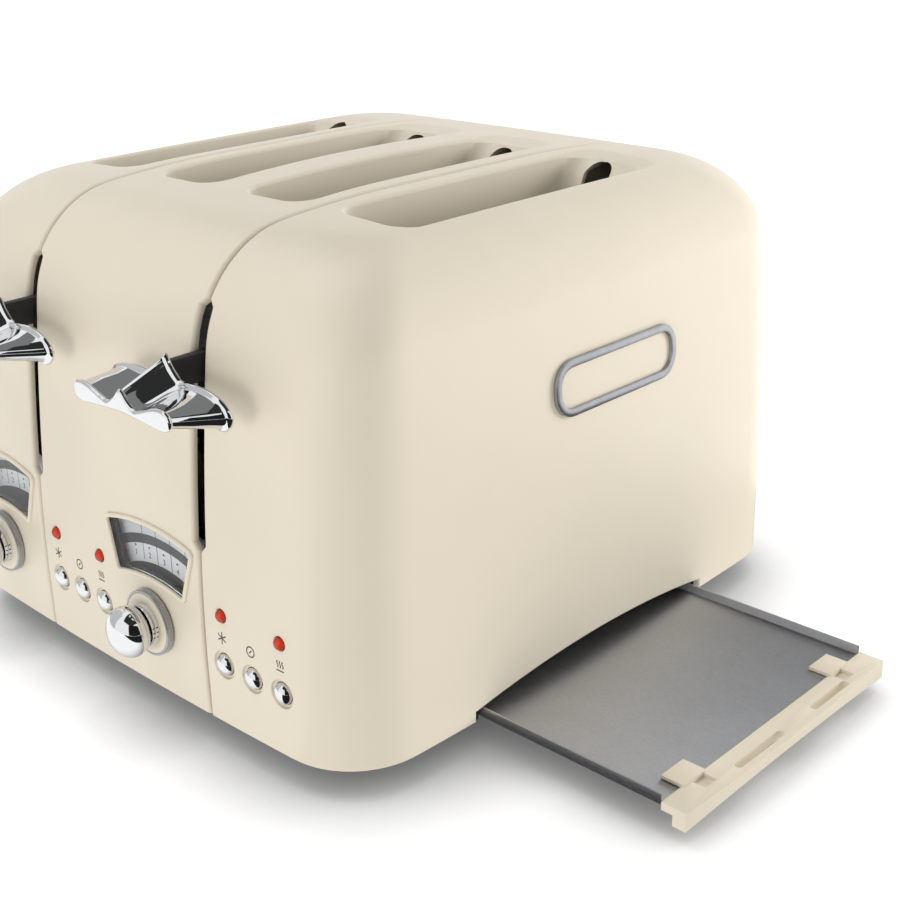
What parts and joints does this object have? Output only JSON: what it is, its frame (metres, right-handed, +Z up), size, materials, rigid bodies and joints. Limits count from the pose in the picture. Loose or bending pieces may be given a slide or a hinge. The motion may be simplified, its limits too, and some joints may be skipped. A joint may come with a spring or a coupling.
{
  "type": "four-slot toaster",
  "caption": "Rounded bread toaster with long slots, front levers, browning knobs with arched gauges, push buttons and a pull-out crumb tray.",
  "frame": {"origin": "bottom centre of the whole object's bounding box, with the crumb tray drawn out as it rests", "axes": "+X across the slots towards the crumb tray's handle, -Y towards the front with the levers, +Z up"},
  "size_m": [0.3816, 0.3228, 0.2104],
  "materials": {
    "case_paint": "satin",
    "cream_plastic": "satin",
    "chrome": "polished",
    "sheet_steel": "brushed",
    "black_steel": "satin",
    "black_plastic": "matte",
    "mica": "matte",
    "coil": "lacquered",
    "circuit_board": "lacquered",
    "dial_print": "printed",
    "clear_window": "clear",
    "red_plastic": "gloss",
    "foot_rubber": "matte"
  },
  "bodies": {
    "case": {"base_plate": "black_plastic", "foot_front_left": "foot_rubber", "foot_front_right": "foot_rubber", "foot_rear_left": "foot_rubber", "foot_rear_right": "foot_rubber", "left_end_shell": "case_paint", "centre_shell": "case_paint", "right_end_shell": "case_paint", "front_bulkhead": "sheet_steel", "rear_bulkhead": "sheet_steel", "heater_card_1": "mica", "heater_card_2": "mica", "heater_card_3": "mica", "heater_card_4": "mica", "heater_card_5": "mica", "heater_card_6": "mica", "guide_rod_left": "sheet_steel", "guide_rod_right": "sheet_steel", "return_spring_left": "sheet_steel", "return_spring_right": "sheet_steel", "latch_magnet_left": "coil", "latch_magnet_right": "coil", "control_board_left": "circuit_board", "control_board_right": "circuit_board", "gauge_bezel_left": "cream_plastic", "gauge_bezel_right": "cream_plastic", "gauge_window_left": "clear_window", "gauge_window_right": "clear_window", "gauge_dial_left": "dial_print", "gauge_dial_right": "dial_print", "defrost_lamp_left": "red_plastic", "defrost_lamp_right": "red_plastic", "reheat_lamp_left": "red_plastic", "reheat_lamp_right": "red_plastic", "side_plate": "sheet_steel", "cord_gland": "black_plastic"},
    "left_lever": {"carriage_left": "black_steel", "lever_handle_left": "chrome"},
    "right_lever": {"carriage_right": "black_steel", "lever_handle_right": "chrome"},
    "left_knob": {"browning_knob_left": "chrome"},
    "right_knob": {"browning_knob_right": "chrome"},
    "left_needle": {"gauge_needle_left": "red_plastic"},
    "right_needle": {"gauge_needle_right": "red_plastic"},
    "left_defrost": {"defrost_button_left": "chrome"},
    "left_cancel": {"cancel_button_left": "chrome"},
    "left_reheat": {"reheat_button_left": "chrome"},
    "right_defrost": {"defrost_button_right": "chrome"},
    "right_cancel": {"cancel_button_right": "chrome"},
    "right_reheat": {"reheat_button_right": "chrome"},
    "crumb_tray": {"crumb_tray_pan": "sheet_steel", "crumb_tray_handle": "cream_plastic"},
    "guard_1_left": {"bread_guard_1_left": "sheet_steel"},
    "guard_1_right": {"bread_guard_1_right": "sheet_steel"},
    "guard_2_left": {"bread_guard_2_left": "sheet_steel"},
    "guard_2_right": {"bread_guard_2_right": "sheet_steel"},
    "guard_3_left": {"bread_guard_3_left": "sheet_steel"},
    "guard_3_right": {"bread_guard_3_right": "sheet_steel"},
    "guard_4_left": {"bread_guard_4_left": "sheet_steel"},
    "guard_4_right": {"bread_guard_4_right": "sheet_steel"}
  },
  "joints": [
    {"name": "left_lever_slide", "type": "slide", "parent": "case", "child": "left_lever", "axis": [0, 0, 1], "range_m": [-0.064, 0.014], "stiffness_N_per_m": 100, "springref_m": 0.02, "deforming": ["return_spring_left"]},
    {"name": "right_lever_slide", "type": "slide", "parent": "case", "child": "right_lever", "axis": [0, 0, 1], "range_m": [-0.064, 0.014], "stiffness_N_per_m": 100, "springref_m": 0.02, "deforming": ["return_spring_right"]},
    {"name": "left_knob_turn", "type": "hinge", "parent": "case", "child": "left_knob", "pos_m": [-0.1383, -0.136, 0.045], "axis": [0, 1, 0], "range_deg": [0, 270]},
    {"name": "right_knob_turn", "type": "hinge", "parent": "case", "child": "right_knob", "pos_m": [-0.0243, -0.136, 0.045], "axis": [0, 1, 0], "range_deg": [0, 270]},
    {"name": "left_needle_turn", "type": "hinge", "parent": "case", "child": "left_needle", "pos_m": [-0.1383, -0.124, 0.045], "axis": [0, 1, 0], "range_deg": [0, 104]},
    {"name": "right_needle_turn", "type": "hinge", "parent": "case", "child": "right_needle", "pos_m": [-0.0243, -0.124, 0.045], "axis": [0, 1, 0], "range_deg": [0, 104]},
    {"name": "left_defrost_press", "type": "slide", "parent": "case", "child": "left_defrost", "axis": [0, 1, 0], "range_m": [0, 0.002], "stiffness_N_per_m": 300, "springref_m": -0.001},
    {"name": "left_cancel_press", "type": "slide", "parent": "case", "child": "left_cancel", "axis": [0, 1, 0], "range_m": [0, 0.002], "stiffness_N_per_m": 300, "springref_m": -0.001},
    {"name": "left_reheat_press", "type": "slide", "parent": "case", "child": "left_reheat", "axis": [0, 1, 0], "range_m": [0, 0.002], "stiffness_N_per_m": 300, "springref_m": -0.001},
    {"name": "right_defrost_press", "type": "slide", "parent": "case", "child": "right_defrost", "axis": [0, 1, 0], "range_m": [0, 0.002], "stiffness_N_per_m": 300, "springref_m": -0.001},
    {"name": "right_cancel_press", "type": "slide", "parent": "case", "child": "right_cancel", "axis": [0, 1, 0], "range_m": [0, 0.002], "stiffness_N_per_m": 300, "springref_m": -0.001},
    {"name": "right_reheat_press", "type": "slide", "parent": "case", "child": "right_reheat", "axis": [0, 1, 0], "range_m": [0, 0.002], "stiffness_N_per_m": 300, "springref_m": -0.001},
    {"name": "crumb_tray_slide", "type": "slide", "parent": "case", "child": "crumb_tray", "axis": [1, 0, 0], "range_m": [-0.0975, 0.12]},
    {"name": "guard_1_left_lean", "type": "hinge", "parent": "case", "child": "guard_1_left", "pos_m": [-0.14875, 0.015, 0.03], "axis": [0, 1, 0], "range_deg": [-0.9, 4]},
    {"name": "guard_1_right_lean", "type": "hinge", "parent": "case", "child": "guard_1_right", "pos_m": [-0.11975, 0.015, 0.03], "axis": [0, 1, 0], "range_deg": [-4, 0.9]},
    {"name": "guard_2_left_lean", "type": "hinge", "parent": "case", "child": "guard_2_left", "pos_m": [-0.09175, 0.015, 0.03], "axis": [0, 1, 0], "range_deg": [-0.9, 4]},
    {"name": "guard_2_right_lean", "type": "hinge", "parent": "case", "child": "guard_2_right", "pos_m": [-0.06275, 0.015, 0.03], "axis": [0, 1, 0], "range_deg": [-4, 0.9]},
    {"name": "guard_3_left_lean", "type": "hinge", "parent": "case", "child": "guard_3_left", "pos_m": [-0.03475, 0.015, 0.03], "axis": [0, 1, 0], "range_deg": [-0.9, 4]},
    {"name": "guard_3_right_lean", "type": "hinge", "parent": "case", "child": "guard_3_right", "pos_m": [-0.00575, 0.015, 0.03], "axis": [0, 1, 0], "range_deg": [-4, 0.9]},
    {"name": "guard_4_left_lean", "type": "hinge", "parent": "case", "child": "guard_4_left", "pos_m": [0.02225, 0.015, 0.03], "axis": [0, 1, 0], "range_deg": [-0.9, 4]},
    {"name": "guard_4_right_lean", "type": "hinge", "parent": "case", "child": "guard_4_right", "pos_m": [0.05125, 0.015, 0.03], "axis": [0, 1, 0], "range_deg": [-4, 0.9]}
  ],
  "couplings": [
    {"joint": "left_needle_turn", "follows": "left_knob_turn", "ratio": 0.385},
    {"joint": "right_needle_turn", "follows": "right_knob_turn", "ratio": 0.385},
    {"joint": "guard_1_left_lean", "follows": "left_lever_slide", "rad_per_m": -1.09},
    {"joint": "guard_1_right_lean", "follows": "left_lever_slide", "rad_per_m": 1.09},
    {"joint": "guard_2_left_lean", "follows": "left_lever_slide", "rad_per_m": -1.09},
    {"joint": "guard_2_right_lean", "follows": "left_lever_slide", "rad_per_m": 1.09},
    {"joint": "guard_3_left_lean", "follows": "right_lever_slide", "rad_per_m": -1.09},
    {"joint": "guard_3_right_lean", "follows": "right_lever_slide", "rad_per_m": 1.09},
    {"joint": "guard_4_left_lean", "follows": "right_lever_slide", "rad_per_m": -1.09},
    {"joint": "guard_4_right_lean", "follows": "right_lever_slide", "rad_per_m": 1.09}
  ]
}
